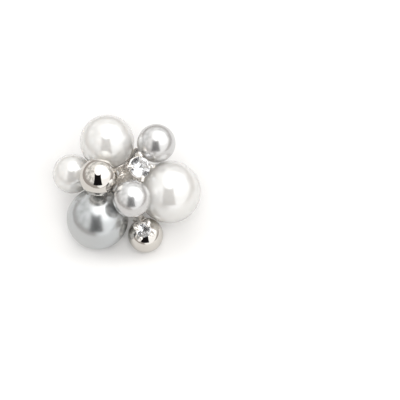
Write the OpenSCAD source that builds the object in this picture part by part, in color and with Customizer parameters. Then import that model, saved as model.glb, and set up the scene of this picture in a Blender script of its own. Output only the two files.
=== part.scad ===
// Cluster stud earring: six pearls, two polished balls and two claw-set crystals
// on one cast metal frame, with an ear post at the back. Millimetres, +Z up.
//
// The cluster is laid out on its face: u to the right, v up the face, w out of
// it towards the viewer. The face leans back from the surface that the earring
// lies on. It rests on the large grey pearl, the low ball and the post's tip.

/* [Pearls and balls] */
// Diameter of the white pearl at the top
white_pearl_top_d = 9.1; // [8.6:0.1:9.1]
// Diameter of the white pearl at the far left
white_pearl_left_d = 6.6; // [6.2:0.1:6.6]
// Diameter of the white pearl at the right
white_pearl_right_d = 10.5; // [10:0.1:10.5]
// Diameter of the large grey pearl
grey_pearl_large_d = 10.3; // [9.9:0.1:10.3]
// Diameter of the grey pearl at the top
grey_pearl_top_d = 6.4; // [6:0.1:6.4]
// Diameter of the pale grey pearl in front
grey_pearl_front_d = 6.2; // [5.8:0.1:6.2]
// Diameter of the polished ball in front
silver_ball_front_d = 6.3; // [5.9:0.1:6.3]
// Diameter of the polished ball at the bottom
silver_ball_low_d = 5.9; // [5.6:0.1:5.9]

/* [Crystals] */
// Diameter of the large crystal at its girdle
crystal_large_d = 3.6; // [3.2:0.1:3.6]
// Diameter of the small crystal at its girdle
crystal_small_d = 2.5; // [2.2:0.1:2.6]

/* [Frame] */
// Thickness of the spine
spine_d = 1.5; // [1.3:0.1:1.6]
// Diameter of the hub plate that the branches leave from
hub_d = 3.4; // [3:0.1:3.4]
// Thickness of the hub plate
hub_h = 1.7; // [1.6:0.1:1.8]
// Thickness of a branch where it leaves the spine
branch_root_d = 1.2; // [1:0.1:1.2]
// Thickness of a branch where it meets its cup
branch_tip_d = 0.9; // [0.85:0.05:1]
// Thickness of the peg inside a bead
peg_d = 0.7; // [0.6:0.05:0.8]
// Wall of a bead cup
cup_wall = 0.3; // [0.25:0.05:0.35]
// Width of a bead cup as a share of its bead
cup_share = 0.36; // [0.3:0.02:0.4]
// Thickness of the claws that hold the large crystal
large_claw_d = 0.7; // [0.6:0.05:0.7]
// Thickness of the claws that hold the small crystal
small_claw_d = 0.65; // [0.5:0.05:0.65]
// Thickness of the plate behind the upper pearls
back_plate_h = 1.1; // [1:0.1:1.2]

/* [Ear post] */
// Thickness of the ear post
post_d = 0.8; // [0.7:0.05:0.9]
// Diameter of the boss that holds the post
post_boss_d = 1.9; // [1.7:0.1:2]
// Length of the boss
post_boss_h = 1.8; // [1.6:0.1:2]
// Thickness of the post's tapered root where it enters the boss
post_root_d = 0.6; // [0.5:0.05:0.65]
// Thickness of the root at its end
post_root_end_d = 0.36; // [0.3:0.02:0.4]
// Length of the post's root
post_root_h = 1.2; // [1:0.1:1.3]

/* [Pose] */
// Lean of the face from the surface, in degrees
face_lean = 30; // [29:0.5:31]
// Gap between neighbouring pieces
gap = 0.06; // [0.04:0.01:0.08]

/* [Hidden] */
$fn = 72;

// Joints of the frame on the face: the hub, the low joint and the post's joint
HUB = [-0.2, 3.1, -1];
LOW_JOINT = [1.1, -1.2, -0.6];
POST_JOINT = [1.8, 8, -2.6];
// Where the large crystal's stem leaves the hub
STEM_JOINT = [-0.7, 3.6, -0.6];

// Places of the beads on the face
WHITE_TOP_AT = [-3.32, 9.67, 0];
WHITE_LEFT_AT = [-9.2, 4.38, -1.2];
WHITE_RIGHT_AT = [7.08, 1.37, 0];
GREY_LARGE_AT = [-4.9, -3.1, 0];
GREY_TOP_AT = [4.92, 9.39, 2];
GREY_FRONT_AT = [1.02, 0.2, 5.9];
SILVER_FRONT_AT = [-4.45, 3.74, 5];
SILVER_LOW_UV = [3.07, -5.85];

// Height above the surface, and place along it, of a point on the face
function rise(p) = p.y * sin(face_lean) + p.z * cos(face_lean);
function run(p) = p.y * cos(face_lean) - p.z * sin(face_lean);
// How far out of the face a point at (u, v) lies when it is at a given height
function out_at(u, v, height) = (height - lift - v * sin(face_lean)) / cos(face_lean);

// The large grey pearl, the low ball and the rounded tip of the post touch the surface
lift = grey_pearl_large_d / 2 - rise(GREY_LARGE_AT);
SILVER_LOW_AT = [
    SILVER_LOW_UV.x, SILVER_LOW_UV.y,
    out_at(SILVER_LOW_UV.x, SILVER_LOW_UV.y, silver_ball_low_d / 2)
];
POST_TIP = [
    POST_JOINT.x, POST_JOINT.y,
    out_at(POST_JOINT.x, POST_JOINT.y, post_d / 2)
];

// Beads, with named columns: centre, diameter, and the joint that carries the branch
CENTRE = 0;
DIAMETER = 1;
JOINT = 2;
BEADS = [
    [WHITE_TOP_AT, white_pearl_top_d, HUB],
    [WHITE_LEFT_AT, white_pearl_left_d, HUB],
    [WHITE_RIGHT_AT, white_pearl_right_d, HUB],
    [GREY_LARGE_AT, grey_pearl_large_d, HUB],
    [GREY_TOP_AT, grey_pearl_top_d, POST_JOINT],
    [GREY_FRONT_AT, grey_pearl_front_d, LOW_JOINT],
    [SILVER_FRONT_AT, silver_ball_front_d, HUB],
    [SILVER_LOW_AT, silver_ball_low_d, LOW_JOINT]
];

// Crystals, with named columns: centre of the girdle, the way the table faces,
// diameter, the joint that carries the branch, and the claws' thickness and turn
GIRDLE = 0;
FACES = 1;
ACROSS = 2;
CARRIER = 3;
CLAW = 4;
TURN = 5;
CRYSTALS = [
    [[2.34, 5.4, 4.3], [0.44, 0.16, 0.88], crystal_large_d, STEM_JOINT, large_claw_d, 74],
    [[2.92, -5.02, 3.8], [0.2, -0.38, 0.9], crystal_small_d, LOW_JOINT, small_claw_d, 36]
];

// Cut of a crystal, as shares of its diameter
TABLE_SHARE = 0.57;
STAR_SHARE = 0.38;
CROWN_SHARE = 0.16;
GIRDLE_SHARE = 0.03;
PAVILION_SHARE = 0.43;
LOWER_SHARE = 0.115;
MAINS = 8;

// Parts of a claw basket, as shares of the crystal's diameter
KNEE_SHARE = 0.18;
FOOT_SHARE = 0.2;
FOOT_DEPTH_SHARE = 0.56;
RING_WIRE_SHARE = 0.055;
RING_INSET = 0.08;

// Stem of a basket: three wires run together, as shares of the crystal's diameter
STEM_WIRES = 3;
STEM_WIRE_SHARE = 0.086;
STEM_SPREAD_SHARE = 0.092;
STEM_TURN = 30;

// Outline of the back plate: centre and diameter of each of its rounded corners
PLATE_CORNERS = [
    [[HUB.x, HUB.y], 2.6],
    [[POST_JOINT.x, POST_JOINT.y], 1.7],
    [[-0.5, 6], 1.8]
];
PLATE_DROP = 0.75;
PLATE_CLEARANCE = 0.2;

// A bead's hole ends just short of the bead's centre, and its peg a little sooner
HOLE_END_SHARE = 0.05;
PEG_END_SHARE = 0.2;
HOLE_CLEARANCE = 0.06;
JOINT_SWELL = 1.06;
SHOULDER_RISE = 0.85;
HUB_CHAMFER = 0.25;
FLARE_H = 0.5;
FLARE_SHARE = 1.7;
TIP_ARC_STEP = 15;
BEYOND = 1;

// How far out of the face the boss ends
boss_face = POST_JOINT.z - post_boss_h / 2;

// Middle of the whole outline, which the origin lies under
left_edge = min([for (row = BEADS) row[CENTRE].x - row[DIAMETER] / 2]);
right_edge = max([for (row = BEADS) row[CENTRE].x + row[DIAMETER] / 2]);
near_edge = min([for (row = BEADS) run(row[CENTRE]) - row[DIAMETER] / 2]);
far_edge = max(
    run(POST_TIP) + post_d / 2,
    max([for (row = BEADS) run(row[CENTRE]) + row[DIAMETER] / 2])
);

// Lays the face frame's children on the surface, with the origin under their middle
module laid() {
    translate([-(left_edge + right_edge) / 2, -(near_edge + far_edge) / 2, lift])
        rotate([face_lean, 0, 0])
            children();
}

// Moves children to a point and turns their +Z along a direction
module facing(at, way) {
    translate(at)
        rotate([0, acos(way.z / norm(way)), atan2(way.y, way.x)])
            children();
}

// A round rod between two points, with a radius at each end
module rod(from, to, r_from, r_to) {
    facing(from, to - from)
        cylinder(h = norm(to - from), r1 = r_from, r2 = r_to);
}

// One bead, half drilled on the side of the branch that carries it
module bead(row) {
    r = row[DIAMETER] / 2;
    facing(row[CENTRE], row[JOINT] - row[CENTRE])
        difference() {
            sphere(r = r);
            translate([0, 0, r * HOLE_END_SHARE])
                cylinder(h = r + BEYOND, d = peg_d + 2 * HOLE_CLEARANCE);
        }
}

// The branch, cup and peg that carry one bead
module bead_branch(row) {
    r = row[DIAMETER] / 2;
    reach = norm(row[JOINT] - row[CENTRE]);
    seat = r + gap + cup_wall / 2;
    facing(row[CENTRE], row[JOINT] - row[CENTRE]) {
        translate([0, 0, r * PEG_END_SHARE])
            cylinder(h = seat - r * PEG_END_SHARE, d = peg_d);
        translate([0, 0, seat])
            cylinder(h = reach - seat, d1 = branch_tip_d, d2 = branch_root_d);
        translate([0, 0, seat])
            cylinder(h = FLARE_H, d1 = branch_tip_d * FLARE_SHARE, d2 = branch_tip_d);
        difference() {
            intersection() {
                sphere(r = r + gap + cup_wall);
                cylinder(h = r + BEYOND, d = row[DIAMETER] * cup_share);
            }
            sphere(r = r + gap);
        }
    }
}

// The spine, from the low joint through the hub to the post's joint
module spine() {
    rod(LOW_JOINT, HUB, spine_d / 2, spine_d / 2);
    rod(HUB, POST_JOINT, spine_d / 2, spine_d / 2);
    translate([HUB.x, HUB.y, HUB.z - hub_h / 2 + HUB_CHAMFER])
        cylinder(h = hub_h - 2 * HUB_CHAMFER, d = hub_d);
    for (side = [0, 1])
        translate(HUB)
            mirror([0, 0, side])
                translate([0, 0, hub_h / 2 - HUB_CHAMFER])
                    cylinder(h = HUB_CHAMFER, d1 = hub_d, d2 = hub_d - 2 * HUB_CHAMFER);
    translate(LOW_JOINT)
        sphere(d = spine_d * JOINT_SWELL);
}

// The plate from the hub to the boss, hollowed round the top white pearl
module back_plate() {
    difference() {
        translate([0, 0, HUB.z - hub_h / 2 - PLATE_DROP])
            linear_extrude(back_plate_h)
                hull()
                    for (corner = PLATE_CORNERS)
                        translate(corner[0])
                            circle(d = corner[1]);
        translate(WHITE_TOP_AT)
            sphere(d = white_pearl_top_d + 2 * PLATE_CLEARANCE);
    }
}

// The boss at the back that the post stands in
module post_boss() {
    translate([POST_JOINT.x, POST_JOINT.y, POST_JOINT.z - post_boss_h / 2])
        cylinder(h = post_boss_h, d = post_boss_d);
}

// One claw of a basket, in the crystal's frame, on the +X side: it rises from the
// foot, stands up past the girdle and bends in over the crown
module claw(stone_d, claw_d) {
    claw_r = claw_d / 2;
    joint_r = claw_r * JOINT_SWELL;
    out = stone_d / 2 + gap + claw_r;
    tip_out = stone_d / 2;
    tip_up = crown_height(stone_d, tip_out) + (joint_r + gap) / cos(crown_angle());
    foot = [stone_d * FOOT_SHARE, 0, -stone_d * FOOT_DEPTH_SHARE];
    knee = [out, 0, -stone_d * KNEE_SHARE];
    shoulder = [out, 0, claw_r * SHOULDER_RISE];
    tip = [tip_out, 0, tip_up];
    rod(foot, knee, claw_r, claw_r);
    rod(knee, shoulder, claw_r, claw_r);
    rod(shoulder, tip, claw_r, claw_r);
    for (bend = [knee, shoulder, tip])
        translate(bend)
            sphere(r = joint_r);
}

// A claw basket in the crystal's frame: a foot, two rings and four claws
module basket(stone_d, claw_d, claw_turn) {
    wire_r = stone_d * RING_WIRE_SHARE;
    foot_depth = stone_d * FOOT_DEPTH_SHARE;
    seat_out = stone_d / 2 - RING_INSET;
    seat_down = stone_d * GIRDLE_SHARE / 2
        + (wire_r + gap + RING_INSET * sin(pavilion_angle())) / cos(pavilion_angle());
    gallery_out = (stone_d * FOOT_SHARE + seat_out) / 2;
    gallery_down = (foot_depth + seat_down) / 2;
    translate([0, 0, -foot_depth - wire_r])
        cylinder(h = 2 * wire_r, r = stone_d * FOOT_SHARE + wire_r);
    translate([0, 0, -seat_down])
        ring(seat_out, wire_r);
    translate([0, 0, -gallery_down - wire_r])
        ring(gallery_out + wire_r, wire_r);
    for (k = [0 : 3])
        rotate([0, 0, claw_turn + 90 * k])
            claw(stone_d, claw_d);
}

// The stem and basket that carry one crystal
module crystal_branch(row) {
    way = row[FACES] / norm(row[FACES]);
    foot = row[GIRDLE] - way * row[ACROSS] * FOOT_DEPTH_SHARE;
    facing(row[CARRIER], foot - row[CARRIER])
        for (k = [1 : STEM_WIRES])
            rotate([0, 0, STEM_TURN + 360 * k / STEM_WIRES])
                translate([row[ACROSS] * STEM_SPREAD_SHARE, 0, 0])
                    cylinder(h = norm(foot - row[CARRIER]), r = row[ACROSS] * STEM_WIRE_SHARE);
    facing(row[GIRDLE], way)
        basket(row[ACROSS], row[CLAW], row[TURN]);
}

// A round wire ring about the crystal's axis
module ring(middle_r, wire_r) {
    rotate_extrude()
        translate([middle_r, 0])
            circle(r = wire_r);
}

// Slopes of a crystal, and the height of its crown at a distance from its axis
function crown_angle() = atan(CROWN_SHARE / (0.5 - TABLE_SHARE / 2));
function pavilion_angle() = atan(PAVILION_SHARE / 0.5);
function crown_height(d, out) =
    d * GIRDLE_SHARE / 2 + (d / 2 - out) * tan(crown_angle());
function pavilion_drop(d, out) =
    -d * GIRDLE_SHARE / 2 - (d / 2 - out) * tan(pavilion_angle());

// Points of a crystal's ring: count, radius, height, and the turn of the first point
function ring_points(count, r, z, turn = 0) = [
    for (k = [0 : count - 1])
        [r * cos(turn + 360 * k / count), r * sin(turn + 360 * k / count), z]
];

// A round brilliant: table, stars, kites, upper and lower halves, girdle and mains
module brilliant(d) {
    half_step = 180 / MAINS;
    star_r = d * STAR_SHARE;
    lower_r = d * LOWER_SHARE;
    table_r = d * TABLE_SHARE / 2;
    // First index of each ring of points, from the table down
    table_at = 0;
    star_at = MAINS;
    upper_at = 2 * MAINS;
    under_at = 4 * MAINS;
    lower_at = 6 * MAINS;
    culet_at = 7 * MAINS;
    points = concat(
        ring_points(MAINS, table_r, crown_height(d, table_r)),
        ring_points(MAINS, star_r, crown_height(d, star_r * cos(half_step)), half_step),
        ring_points(2 * MAINS, d / 2, d * GIRDLE_SHARE / 2),
        ring_points(2 * MAINS, d / 2, -d * GIRDLE_SHARE / 2),
        ring_points(MAINS, lower_r, pavilion_drop(d, lower_r * cos(half_step)), half_step),
        [[0, 0, pavilion_drop(d, 0)]]
    );
    faces = concat(
        [[for (k = [MAINS - 1 : -1 : 0]) table_at + k]],
        [for (k = [0 : MAINS - 1]) [table_at + k, table_at + (k + 1) % MAINS, star_at + k]],
        [for (k = [0 : MAINS - 1]) [
            table_at + k, star_at + k, upper_at + 2 * k, star_at + (k + MAINS - 1) % MAINS
        ]],
        [for (k = [0 : MAINS - 1]) [star_at + k, upper_at + 2 * k + 1, upper_at + 2 * k]],
        [for (k = [0 : MAINS - 1]) [
            star_at + k, upper_at + (2 * k + 2) % (2 * MAINS), upper_at + 2 * k + 1
        ]],
        [for (k = [0 : 2 * MAINS - 1]) [
            upper_at + k, upper_at + (k + 1) % (2 * MAINS),
            under_at + (k + 1) % (2 * MAINS), under_at + k
        ]],
        [for (k = [0 : MAINS - 1]) [under_at + 2 * k, under_at + 2 * k + 1, lower_at + k]],
        [for (k = [0 : MAINS - 1]) [
            under_at + 2 * k + 1, under_at + (2 * k + 2) % (2 * MAINS), lower_at + k
        ]],
        [for (k = [0 : MAINS - 1]) [
            under_at + 2 * k, lower_at + k, culet_at, lower_at + (k + MAINS - 1) % MAINS
        ]]
    );
    polyhedron(points, faces);
}

module metal_frame() {
    color("silver")
        laid()
            difference() {
                union() {
                    spine();
                    back_plate();
                    post_boss();
                    for (row = BEADS)
                        bead_branch(row);
                    for (row = CRYSTALS)
                        crystal_branch(row);
                }
                post_socket();
            }
}

// The blind hole in the boss, tapered as the post's root is, and a little wider and deeper
module post_socket() {
    flare = (post_root_d - post_root_end_d) * BEYOND / post_root_h;
    translate([POST_JOINT.x, POST_JOINT.y, boss_face - BEYOND])
        cylinder(
            h = post_root_h + BEYOND,
            d1 = post_root_d + flare + 2 * gap,
            d2 = post_root_end_d + 2 * gap
        );
}

// A straight pin with a rounded tip, and a thinner tapered root that stands in the boss
module ear_post() {
    r = post_d / 2;
    shoulder = boss_face - gap;
    root_h = post_root_h - gap;
    profile = concat(
        [[0, -root_h], [post_root_end_d / 2, -root_h], [post_root_d / 2, 0], [r, 0]],
        [for (a = [0 : TIP_ARC_STEP : 90])
            [r * cos(a), shoulder - POST_TIP.z + r * sin(a)]]
    );
    color("gainsboro")
        laid()
            facing([POST_JOINT.x, POST_JOINT.y, shoulder], [0, 0, -1])
                rotate_extrude()
                    polygon(profile);
}

module white_pearl_top() { color("ivory") laid() bead(BEADS[0]); }
module white_pearl_left() { color("ivory") laid() bead(BEADS[1]); }
module white_pearl_right() { color("ivory") laid() bead(BEADS[2]); }
module grey_pearl_large() { color("slategray") laid() bead(BEADS[3]); }
module grey_pearl_top() { color("darkgray") laid() bead(BEADS[4]); }
module grey_pearl_front() { color("lightgray") laid() bead(BEADS[5]); }
module silver_ball_front() { color("silver") laid() bead(BEADS[6]); }
module silver_ball_low() { color("silver") laid() bead(BEADS[7]); }

module crystal(row) {
    facing(row[GIRDLE], row[FACES])
        brilliant(row[ACROSS]);
}

module crystal_large() { color("white") laid() crystal(CRYSTALS[0]); }
module crystal_small() { color("white") laid() crystal(CRYSTALS[1]); }

metal_frame();
ear_post();
white_pearl_top();
white_pearl_left();
white_pearl_right();
grey_pearl_large();
grey_pearl_top();
grey_pearl_front();
silver_ball_front();
silver_ball_low();
crystal_large();
crystal_small();
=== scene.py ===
"""Looks of the cluster earring: pearls, polished balls, claw-set crystals and cast frame.

Everything is in metres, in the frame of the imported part. The earring lies on the floor,
and the camera looks square at its face.
"""

import math

import bmesh
import bpy
import mathutils
from mathutils import Matrix, Vector


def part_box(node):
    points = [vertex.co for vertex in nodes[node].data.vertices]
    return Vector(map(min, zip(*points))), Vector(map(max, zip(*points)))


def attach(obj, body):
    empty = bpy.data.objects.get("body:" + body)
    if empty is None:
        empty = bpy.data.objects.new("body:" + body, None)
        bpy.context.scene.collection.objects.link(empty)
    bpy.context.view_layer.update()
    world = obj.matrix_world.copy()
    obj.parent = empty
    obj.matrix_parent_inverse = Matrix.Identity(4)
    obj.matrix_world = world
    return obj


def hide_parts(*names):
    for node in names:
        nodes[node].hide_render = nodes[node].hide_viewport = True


MM = 0.001
FACE_LEAN = math.radians(30)
BODY = "root"
WHITE = (1, 1, 1, 1)

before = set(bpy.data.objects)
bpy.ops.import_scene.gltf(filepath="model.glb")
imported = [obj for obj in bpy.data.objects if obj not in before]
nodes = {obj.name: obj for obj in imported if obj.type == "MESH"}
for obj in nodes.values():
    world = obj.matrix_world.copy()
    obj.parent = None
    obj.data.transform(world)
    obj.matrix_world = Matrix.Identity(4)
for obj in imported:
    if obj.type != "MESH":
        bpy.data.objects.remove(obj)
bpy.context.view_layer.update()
scene = bpy.context.scene


# Camera: square on to the face, far enough away for little perspective

CAMERA_AIM = Vector((12.252, -2.72, 6.70)) * MM
CAMERA_DISTANCE = 300 * MM
CAMERA_LENS = 162
CAMERA_SENSOR = 36
CAMERA_REACH = (10 * MM, 10)


def make_camera():
    data = bpy.data.cameras.new("camera")
    data.sensor_width = CAMERA_SENSOR
    data.lens = CAMERA_LENS
    data.clip_start, data.clip_end = CAMERA_REACH
    camera = bpy.data.objects.new("camera", data)
    face_out = Vector((0, -math.sin(FACE_LEAN), math.cos(FACE_LEAN)))
    camera.location = CAMERA_AIM + face_out * CAMERA_DISTANCE
    camera.rotation_euler = (FACE_LEAN, 0, 0)
    scene.collection.objects.link(camera)
    scene.camera = camera


make_camera()


# Small tools for node trees


class Tree:
    """A node tree with short calls, most of which return a node's output."""

    def __init__(self, tree):
        self.tree = tree
        tree.nodes.clear()

    def node(self, kind, inputs=None, **settings):
        made = self.tree.nodes.new(kind)
        for name, value in settings.items():
            setattr(made, name, value)
        for key, value in (inputs or {}).items():
            self.feed(made.inputs[key], value)
        return made

    def feed(self, socket, value):
        if isinstance(value, bpy.types.NodeSocket):
            self.tree.links.new(value, socket)
        else:
            socket.default_value = value

    def math(self, operation, a, b=0.0):
        return self.node("ShaderNodeMath", {0: a, 1: b}, operation=operation).outputs[0]

    def add(self, a, b):
        return self.math("ADD", a, b)

    def subtract(self, a, b):
        return self.math("SUBTRACT", a, b)

    def multiply(self, a, b):
        return self.math("MULTIPLY", a, b)

    def step(self, value, start, end):
        """0 at start, 1 at end, and a smooth change between them."""
        made = self.node(
            "ShaderNodeMapRange",
            {"Value": value, "From Min": start, "From Max": end},
            interpolation_type="SMOOTHSTEP",
        )
        return made.outputs["Result"]

    def spread(self, share, low, high):
        """From low to high as share goes from 0 to 1."""
        made = self.node("ShaderNodeMapRange", {"Value": share, "To Min": low, "To Max": high})
        return made.outputs["Result"]

    def mix(self, share, a, b):
        made = self.node("ShaderNodeMix", data_type="RGBA")
        self.feed(made.inputs["Factor"], share)
        self.feed(made.inputs[6], a)
        self.feed(made.inputs[7], b)
        return made.outputs[2]

    def noise(self, vector, scale, detail, roughness=0.5):
        made = self.node(
            "ShaderNodeTexNoise",
            {"Vector": vector, "Scale": scale, "Detail": detail, "Roughness": roughness},
        )
        return made.outputs["Fac"]

    def bump(self, height, strength, depth):
        made = self.node(
            "ShaderNodeBump", {"Height": height, "Strength": strength, "Distance": depth}
        )
        return made.outputs[0]

    def place(self):
        """The place on the object, in metres."""
        return self.node("ShaderNodeTexCoord").outputs["Object"]


# Room light. Glossy surfaces mirror a mottled wall, a window in it from overhead down to the
# right, a dim band at the height of the table, and one plain dark card in front. Dull
# surfaces get an even fill instead, and the camera sees a plain white background.
# A way out from the earring has three parts from -1 to 1: right, away (to the back) and up.
# Each edge gives where something starts and where it is full.

WALL_LIGHT = (1.2, 1.19, 1.17, 1)
WALL_SHADE = (0.58, 0.58, 0.57, 1)
LOW_LIGHT = (0.47, 0.44, 0.42, 1)
WINDOW_RIM_LIGHT = (1.28, 1.28, 1.28, 1)
WINDOW_MIDDLE_LIGHT = (2.4, 2.4, 2.4, 1)
CARD_LIGHT = (0.012, 0.010, 0.011, 1)
FILL_LIGHT = (0.22, 0.22, 0.22, 1)

MOTTLE_SCALE = 3.4
MOTTLE_DETAIL = 5.0
MOTTLE_ROUGHNESS = 0.6
MOTTLE_EDGE = (0.36, 0.62)
LOW_BAND_EDGE = (0.06, 0.3)

WINDOW_WOBBLE = 0.5
WINDOW_LEFT_SLOPE = 0.42
WINDOW_LEFT_EDGE = (-0.12, 0.12)
WINDOW_BACK_SLOPE = 1.5
WINDOW_BACK_EDGE = (-0.05, 0.08)
WINDOW_FOOT_SLOPE = 0.45
WINDOW_FOOT_EDGE = (0.2, 0.3)
WINDOW_MIDDLE_WAY = Vector((0.40, 0.12, 0.91))
WINDOW_MIDDLE_EDGE = (0.6, 0.98)

CARD_HALF_WIDTH = 0.32
CARD_SPREAD = 0.12
CARD_SHIFT = 0.03
CARD_SIDE_EDGE = (-0.01, 0.03)
CARD_FRONT_EDGE = (0.0, -0.1)
CARD_FOOT_EDGE = (0.1, 0.15)
CARD_TOP_EDGE = (0.955, 0.935)


def window_share(t, right, away, up, wobble):
    """1 inside the window and 0 outside it. Its left and back edges are uneven."""
    left = t.add(wobble, t.add(right, t.multiply(up, WINDOW_LEFT_SLOPE)))
    back = t.add(wobble, t.subtract(t.multiply(up, WINDOW_BACK_SLOPE), away))
    foot = t.subtract(up, t.multiply(away, WINDOW_FOOT_SLOPE))
    share = t.multiply(t.step(back, *WINDOW_BACK_EDGE), t.step(foot, *WINDOW_FOOT_EDGE))
    return t.multiply(t.step(left, *WINDOW_LEFT_EDGE), share)


def window_colour(t, way):
    """The window's light, brightest round its middle."""
    nearness = t.node(
        "ShaderNodeVectorMath", {0: way, 1: WINDOW_MIDDLE_WAY}, operation="DOT_PRODUCT"
    ).outputs["Value"]
    middle = t.step(nearness, *WINDOW_MIDDLE_EDGE)
    return t.mix(middle, WINDOW_RIM_LIGHT, WINDOW_MIDDLE_LIGHT)


def card_share(t, right, away, up):
    """1 inside the dark card and 0 outside it. The card is wider at its foot."""
    half = t.add(CARD_HALF_WIDTH, t.multiply(t.subtract(1.0, up), CARD_SPREAD))
    inside = t.subtract(half, t.math("ABSOLUTE", t.add(right, CARD_SHIFT)))
    share = t.multiply(t.step(inside, *CARD_SIDE_EDGE), t.step(away, *CARD_FRONT_EDGE))
    share = t.multiply(share, t.step(up, *CARD_FOOT_EDGE))
    return t.multiply(share, t.step(up, *CARD_TOP_EDGE))


def make_world():
    world = bpy.data.worlds.new("room")
    world.use_nodes = True
    scene.world = world
    t = Tree(world.node_tree)
    way = t.node("ShaderNodeTexCoord").outputs["Generated"]
    right, away, up = t.node("ShaderNodeSeparateXYZ", {0: way}).outputs

    mottle = t.noise(way, MOTTLE_SCALE, MOTTLE_DETAIL, MOTTLE_ROUGHNESS)
    wobble = t.multiply(t.subtract(mottle, 0.5), WINDOW_WOBBLE)
    wall = t.mix(t.step(mottle, *MOTTLE_EDGE), WALL_SHADE, WALL_LIGHT)
    wall = t.mix(t.step(up, *LOW_BAND_EDGE), LOW_LIGHT, wall)
    light = t.mix(window_share(t, right, away, up, wobble), wall, window_colour(t, way))
    light = t.mix(card_share(t, right, away, up), light, CARD_LIGHT)

    path = t.node("ShaderNodeLightPath")
    light = t.mix(path.outputs["Is Diffuse Ray"], light, FILL_LIGHT)
    light = t.mix(path.outputs["Is Camera Ray"], light, WHITE)
    back = t.node("ShaderNodeBackground", {"Color": light, "Strength": 1.0})
    out = t.node("ShaderNodeOutputWorld")
    t.tree.links.new(back.outputs[0], out.inputs["Surface"])
    world.cycles_visibility.scatter = False


make_world()
scene.view_settings.view_transform = "Standard"


# Soft boxes that light dull surfaces. Glossy ones mirror the room instead.
# Place and size in millimetres, and power in watts

SOFT_BOX_AIM = Vector((0, 0, 8)) * MM
SOFT_BOXES = {
    "top": ((-30, 50, 500), 460, 0.86),
    "front": ((40, -218, 335), 280, 0.80),
    "left": ((-300, 10, 250), 240, 0.38),
    "right": ((300, 0, 250), 240, 0.36),
    "back": ((0, 350, 200), 240, 0.22),
}


def make_soft_box(name, place, size, power):
    data = bpy.data.lights.new(name, "AREA")
    data.shape = "DISK"
    data.size = size * MM
    data.energy = power
    box = bpy.data.objects.new(name, data)
    box.location = Vector(place) * MM
    box.rotation_euler = (SOFT_BOX_AIM - box.location).to_track_quat("-Z", "Y").to_euler()
    box.visible_glossy = False
    box.visible_transmission = False
    scene.collection.objects.link(box)


for box_name, box_values in SOFT_BOXES.items():
    make_soft_box(box_name, *box_values)


# Materials. A noise scale is in waves to the metre, so 1000 gives a wave to the millimetre


def new_material(name):
    material = bpy.data.materials.new(name)
    material.use_nodes = True
    return material, Tree(material.node_tree)


def finish_material(t, inputs, bump=None):
    shader = t.node("ShaderNodeBsdfPrincipled", inputs)
    if bump is not None:
        t.tree.links.new(bump, shader.inputs["Normal"])
    out = t.node("ShaderNodeOutputMaterial")
    t.tree.links.new(shader.outputs[0], out.inputs["Surface"])


NACRE_DRIFT_SCALE = 160
NACRE_DRIFT_EDGE = (0.35, 0.65)
NACRE_GRAIN_SCALE = 900
NACRE_GRAIN_SPREAD = 0.02
NACRE_WAVE_SCALE = 420
NACRE_WAVE_STRENGTH = 0.05
NACRE_WAVE_DEPTH = 0.05 * MM
NACRE_GLOW_RADIUS = (1.0, 0.95, 0.9)
NACRE_GLOW_DEPTH = 6 * MM
NACRE_COAT_ROUGHNESS = 0.04
NACRE_COAT_IOR = 1.5
WHITE_LOOK = {
    "colour": (0.648, 0.633, 0.611, 1),
    "tint": (0.64, 0.625, 0.598, 1),
    "metallic": 0,
    "roughness": 0.18,
    "ior": 3.2,
    "skin_tint": (0.96, 0.985, 1.0, 1),
    "depth": 0.85,
    "coat": 1.0,
}
GREY_LOOK = {
    "colour": (0.555, 0.575, 0.585, 1),
    "tint": (0.545, 0.555, 0.555, 1),
    "metallic": 0.9,
    "roughness": 0.26,
    "ior": 1.6,
    "skin_tint": WHITE,
    "depth": 0,
    "coat": 0.45,
}
PALE_LOOK = {
    "colour": (0.66, 0.66, 0.66, 1),
    "tint": (0.64, 0.63, 0.62, 1),
    "metallic": 0.84,
    "roughness": 0.24,
    "ior": 1.6,
    "skin_tint": WHITE,
    "depth": 0,
    "coat": 0.6,
}


def pearl_material(name, look):
    """Nacre: a pearl's body colour, drifting softly to a tint, under a bright skin."""
    material, t = new_material(name)
    place = t.place()
    drift = t.step(t.noise(place, NACRE_DRIFT_SCALE, 2.0), *NACRE_DRIFT_EDGE)
    grain = t.noise(place, NACRE_GRAIN_SCALE, 3.0)
    smoothest = look["roughness"] - NACRE_GRAIN_SPREAD
    roughest = look["roughness"] + NACRE_GRAIN_SPREAD
    wave = t.noise(place, NACRE_WAVE_SCALE, 2.0)
    finish_material(
        t,
        {
            "Base Color": t.mix(drift, look["colour"], look["tint"]),
            "Metallic": look["metallic"],
            "Roughness": t.spread(grain, smoothest, roughest),
            "IOR": look["ior"],
            "Specular Tint": look["skin_tint"],
            "Subsurface Weight": look["depth"],
            "Subsurface Radius": NACRE_GLOW_RADIUS,
            "Subsurface Scale": NACRE_GLOW_DEPTH,
            "Coat Weight": look["coat"],
            "Coat Roughness": NACRE_COAT_ROUGHNESS,
            "Coat IOR": NACRE_COAT_IOR,
        },
        t.bump(wave, NACRE_WAVE_STRENGTH, NACRE_WAVE_DEPTH),
    )
    return material


MIRROR_BRIGHT = (0.74, 0.71, 0.665, 1)
MIRROR_DULL = (0.69, 0.655, 0.61, 1)
MIRROR_ROUGHNESS = (0.012, 0.042)
WIPE_SCALE = 260
WIPE_EDGE = (0.4, 0.75)


def mirror_material(name):
    """Polished plating, with faint wipe marks that dull it in places."""
    material, t = new_material(name)
    marks = t.step(t.noise(t.place(), WIPE_SCALE, 5.0, 0.6), *WIPE_EDGE)
    inputs = {
        "Base Color": t.mix(marks, MIRROR_BRIGHT, MIRROR_DULL),
        "Metallic": 1.0,
        "Roughness": t.spread(marks, *MIRROR_ROUGHNESS),
    }
    finish_material(t, inputs)
    return material


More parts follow.
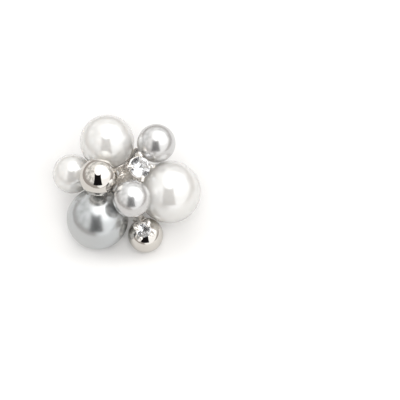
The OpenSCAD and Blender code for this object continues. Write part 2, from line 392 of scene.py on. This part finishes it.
CAST_HOLLOW = (0.87, 0.83, 0.78, 1)
CAST_RAISED = (0.98, 0.95, 0.91, 1)
CAST_METALLIC = 0.86
CAST_ROUGHNESS = (0.28, 0.13)
CAST_SKIN_SCALE = 900
CAST_SKIN_EDGE = (0.3, 0.7)
CAST_SKIN_STRENGTH = 0.5
CAST_SKIN_DEPTH = 0.06 * MM


def cast_material(name):
    """Plated casting: bright, with a fine uneven skin and duller hollows."""
    material, t = new_material(name)
    skin = t.noise(t.place(), CAST_SKIN_SCALE, 4.0, 0.55)
    inputs = {
        "Base Color": t.mix(t.step(skin, *CAST_SKIN_EDGE), CAST_HOLLOW, CAST_RAISED),
        "Metallic": CAST_METALLIC,
        "Roughness": t.spread(skin, *CAST_ROUGHNESS),
    }
    finish_material(t, inputs, t.bump(skin, CAST_SKIN_STRENGTH, CAST_SKIN_DEPTH))
    return material


WIRE_DARK = (0.6, 0.6, 0.6, 1)
WIRE_BRIGHT = (0.76, 0.76, 0.75, 1)
WIRE_ROUGHNESS = (0.32, 0.2)
WIRE_MARK_SCALE = 2600
WIRE_MARK_EDGE = (0.3, 0.7)


def wire_material(name):
    """Drawn wire: satin, with fine marks all over."""
    material, t = new_material(name)
    marks = t.noise(t.place(), WIRE_MARK_SCALE, 3.0, 0.6)
    inputs = {
        "Base Color": t.mix(t.step(marks, *WIRE_MARK_EDGE), WIRE_DARK, WIRE_BRIGHT),
        "Metallic": 1.0,
        "Roughness": t.spread(marks, *WIRE_ROUGHNESS),
    }
    finish_material(t, inputs)
    return material


CRYSTAL_COLOUR = (0.99, 0.99, 1.0, 1)
CRYSTAL_IOR = 1.58
FOIL_COLOUR = (0.93, 0.93, 0.93, 1)
FOIL_ROUGHNESS = 0.14


def crystal_material(name):
    """Clear cut glass."""
    material, t = new_material(name)
    inputs = {
        "Base Color": CRYSTAL_COLOUR,
        "Roughness": 0.0,
        "IOR": CRYSTAL_IOR,
        "Transmission Weight": 1.0,
    }
    finish_material(t, inputs)
    return material


def foil_material(name):
    """The silvered back of a foiled crystal."""
    material, t = new_material(name)
    inputs = {"Base Color": FOIL_COLOUR, "Metallic": 1.0, "Roughness": FOIL_ROUGHNESS}
    finish_material(t, inputs)
    return material


FLOOR_WARM = (1.0, 0.984, 0.965)
FLOOR_PLAIN = (1.02, 1.007, 0.992)
FLOOR_CLOUD_SCALE = 40
FLOOR_ROUGHNESS = 0.6
FLOOR_SHINE = 0.2


def floor_material(name, lightness, glow):
    """Dull white with a faint cloud of warmth in it, which glows by itself if it has to."""
    material, t = new_material(name)
    warm = [part * lightness for part in FLOOR_WARM] + [1]
    plain = [part * lightness for part in FLOOR_PLAIN] + [1]
    cloud = t.noise(t.place(), FLOOR_CLOUD_SCALE, 3.0)
    inputs = {
        "Base Color": t.mix(cloud, warm, plain),
        "Roughness": FLOOR_ROUGHNESS,
        "Specular IOR Level": FLOOR_SHINE,
        "Emission Color": WHITE,
        "Emission Strength": glow,
    }
    finish_material(t, inputs)
    return material


WHITE_PEARL = pearl_material("white pearl", WHITE_LOOK)
GREY_PEARL = pearl_material("grey pearl", GREY_LOOK)
PALE_PEARL = pearl_material("pale grey pearl", PALE_LOOK)
MIRROR = mirror_material("polished metal")
CAST = cast_material("cast frame")
WIRE = wire_material("post wire")
CRYSTAL = crystal_material("crystal")
FOIL = foil_material("crystal foil")
BOARD = floor_material("board", 0.7, 0)
LIT_TABLE = floor_material("lit table", 0.8, 0.07)


# Building blocks

POLE_RADIUS = 1e-9


def add_object(name, mesh):
    made = bpy.data.objects.new(name, mesh)
    scene.collection.objects.link(made)
    return made


def add_piece(name, bm, materials, node):
    """Makes a piece of bm that rides on the earring and stands for one of its nodes."""
    mesh = bpy.data.meshes.new(name)
    bm.to_mesh(mesh)
    bm.free()
    for material in materials:
        mesh.materials.append(material)
    piece = add_object(name, mesh)
    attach(piece, BODY)
    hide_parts(node)


def lathe(bm, profile, segments, axis_frame):
    """Turns (radius, height) points about +Z, then lays them in axis_frame."""
    rings = []
    for radius, height in profile:
        if radius < POLE_RADIUS:
            rings.append([bm.verts.new(axis_frame @ Vector((0, 0, height)))])
            continue
        ring = []
        for k in range(segments):
            angle = 2 * math.pi * k / segments
            point = Vector((radius * math.cos(angle), radius * math.sin(angle), height))
            ring.append(bm.verts.new(axis_frame @ point))
        rings.append(ring)
    for low, high in zip(rings, rings[1:]):
        for k in range(segments):
            after = (k + 1) % segments
            if len(low) == 1:
                bm.faces.new((low[0], high[after], high[k]))
            elif len(high) == 1:
                bm.faces.new((low[k], low[after], high[0]))
            else:
                bm.faces.new((low[k], low[after], high[after], high[k]))
    bmesh.ops.recalc_face_normals(bm, faces=bm.faces)


def arc(centre, radius, start, end, steps):
    """Points of an arc in the profile's plane, angles in degrees."""
    points = []
    for k in range(steps + 1):
        angle = math.radians(start + (end - start) * k / steps)
        across = centre[0] + radius * math.cos(angle)
        height = centre[1] + radius * math.sin(angle)
        points.append((across, height))
    return points


def axis_frame_at(point, way):
    turn = way.to_track_quat("Z", "Y").to_matrix().to_4x4()
    return Matrix.Translation(point) @ turn


# Beads: half-drilled balls, each with a rounded lip where its peg goes in.
# The last value is how far the skin dips in places, as a share of the radius

BEADS = {
    "white_pearl_top": (WHITE_PEARL, "white_pearl", 0.006),
    "white_pearl_left": (WHITE_PEARL, "white_pearl", 0.006),
    "white_pearl_right": (WHITE_PEARL, "white_pearl", 0.006),
    "grey_pearl_large": (GREY_PEARL, "grey_pearl", 0.004),
    "grey_pearl_top": (PALE_PEARL, "pale_grey_pearl", 0.004),
    "grey_pearl_front": (PALE_PEARL, "pale_grey_pearl", 0.004),
    "silver_ball_front": (MIRROR, "polished_metal", 0.0),
    "silver_ball_low": (MIRROR, "polished_metal", 0.0),
}
BEAD_RINGS = 128
BEAD_SEGMENTS = 192
HOLE_LIP = 0.12 * MM
LIP_START = 95
LIP_STEPS = 6
OUTER_SHARE = 0.99
INNER_SHARE = 0.9
SKIN_SHARE = 0.97
CENTRE_ROUNDS = 3
DIP_SCALE = 1.7
DIP_SHIFT = 300


def bead_measure(node):
    """Centre, radius, hole's way, hole's radius and height of the hole's floor."""
    low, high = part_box(node)
    radius = max(high - low) / 2
    points = [v.co.copy() for v in nodes[node].data.vertices]
    centre = (low + high) / 2
    for _ in range(CENTRE_ROUNDS):
        outer = [p for p in points if (p - centre).length > OUTER_SHARE * radius]
        top = [max(p[k] for p in outer) for k in range(3)]
        bottom = [min(p[k] for p in outer) for k in range(3)]
        centre = Vector([(a + b) / 2 for a, b in zip(top, bottom)])
    inner = [p - centre for p in points if (p - centre).length < INNER_SHARE * radius]
    way = sum(inner, Vector()).normalized()
    floor = min(p.dot(way) for p in inner)
    hole = max((p - way * p.dot(way)).length for p in inner)
    return centre, radius, way, hole, floor


def bead_profile(radius, hole, floor):
    lip_angle = math.degrees(math.asin((hole + HOLE_LIP) / radius))
    profile = arc((0, 0), radius, -90, 90 - lip_angle, BEAD_RINGS)
    profile[0] = (0, -radius)
    lip_centre = (hole + HOLE_LIP, profile[-1][1] - HOLE_LIP)
    profile += arc(lip_centre, HOLE_LIP, LIP_START, 180, LIP_STEPS)[1:]
    profile += [(hole, floor), (0, floor)]
    return profile


def make_bead(node):
    material, slot, dip = BEADS[node]
    centre, radius, way, hole, floor = bead_measure(node)
    bm = bmesh.new()
    lathe(bm, bead_profile(radius, hole, floor), BEAD_SEGMENTS, axis_frame_at(centre, way))
    for vert in bm.verts:
        out = vert.co - centre
        if out.length < SKIN_SHARE * radius:
            continue
        out.normalize()
        wave = mathutils.noise.noise(out * DIP_SCALE + centre * DIP_SHIFT)
        vert.co -= out * radius * dip * (0.5 + 0.5 * wave)
    for face in bm.faces:
        face.smooth = True
    add_piece(node + "_ball", bm, [material], node)


for bead_node in BEADS:
    make_bead(bead_node)


# Crystals: the cut facets, with softened edges and a silvered back

CRYSTALS = ("crystal_large", "crystal_small")
FACET_WELD = 0.001 * MM
FACET_ANGLE = math.radians(1)
FACET_SOFTENING = 0.018 * MM
FOIL_TURN = -0.1


def make_crystal(node):
    bm = bmesh.new()
    bm.from_mesh(nodes[node].data)
    bmesh.ops.remove_doubles(bm, verts=bm.verts, dist=FACET_WELD)
    bmesh.ops.dissolve_limit(bm, angle_limit=FACET_ANGLE, verts=bm.verts, edges=bm.edges)
    bmesh.ops.recalc_face_normals(bm, faces=bm.faces)
    table = max(bm.faces, key=lambda face: face.calc_area())
    table_way = table.normal.copy()
    bmesh.ops.bevel(
        bm,
        geom=list(bm.edges) + list(bm.verts),
        offset=FACET_SOFTENING,
        segments=1,
        affect="EDGES",
        clamp_overlap=True,
    )
    for face in bm.faces:
        face.material_index = 1 if face.normal.dot(table_way) < FOIL_TURN else 0
        face.smooth = False
    add_piece(node + "_cut", bm, [CRYSTAL, FOIL], node)


for crystal_node in CRYSTALS:
    make_crystal(crystal_node)


# Frame and ear post: the part's own solids. The frame's edges run together as casting
# leaves them, and the points that coincide at the post's tip become one

CAST_VOXEL = 0.085 * MM
CAST_SOFTENING = 0.5
CAST_SOFT_ROUNDS = 3
POST_WELD = 0.0005 * MM


def dress(node, material):
    piece = nodes[node]
    piece.data.materials.clear()
    piece.data.materials.append(material)
    return piece


def finish_frame():
    cast = dress("metal_frame", CAST)
    remesh = cast.modifiers.new("skin", "REMESH")
    remesh.mode = "VOXEL"
    remesh.voxel_size = CAST_VOXEL
    remesh.use_smooth_shade = True
    soften = cast.modifiers.new("soften", "SMOOTH")
    soften.factor = CAST_SOFTENING
    soften.iterations = CAST_SOFT_ROUNDS


def finish_post():
    post = dress("ear_post", WIRE)
    weld = post.modifiers.new("weld", "WELD")
    weld.merge_threshold = POST_WELD


finish_frame()
finish_post()


# Floor: the camera and dull surfaces see a lit table that glows a little, and glossy
# surfaces see a darker board that is only as wide as the table is in their reflections

BOARD_HALF = 66 * MM
FLOOR_HALF = 160 * MM
FLOOR_DROP = 0.02 * MM


def make_floor(name, half, height, material):
    mesh = bpy.data.meshes.new(name)
    ends = [(-half, -half), (half, -half), (half, half), (-half, half)]
    corners = [(x, y, height) for x, y in ends]
    mesh.from_pydata(corners, [], [(0, 1, 2, 3)])
    mesh.materials.append(material)
    made = add_object(name, mesh)
    return made


mirrored_board = make_floor("mirrored_board", BOARD_HALF, 0, BOARD)
mirrored_board.visible_camera = False
mirrored_board.visible_diffuse = False
mirrored_board.visible_shadow = False
floor = make_floor("floor", FLOOR_HALF, -FLOOR_DROP, LIT_TABLE)
floor.visible_glossy = False
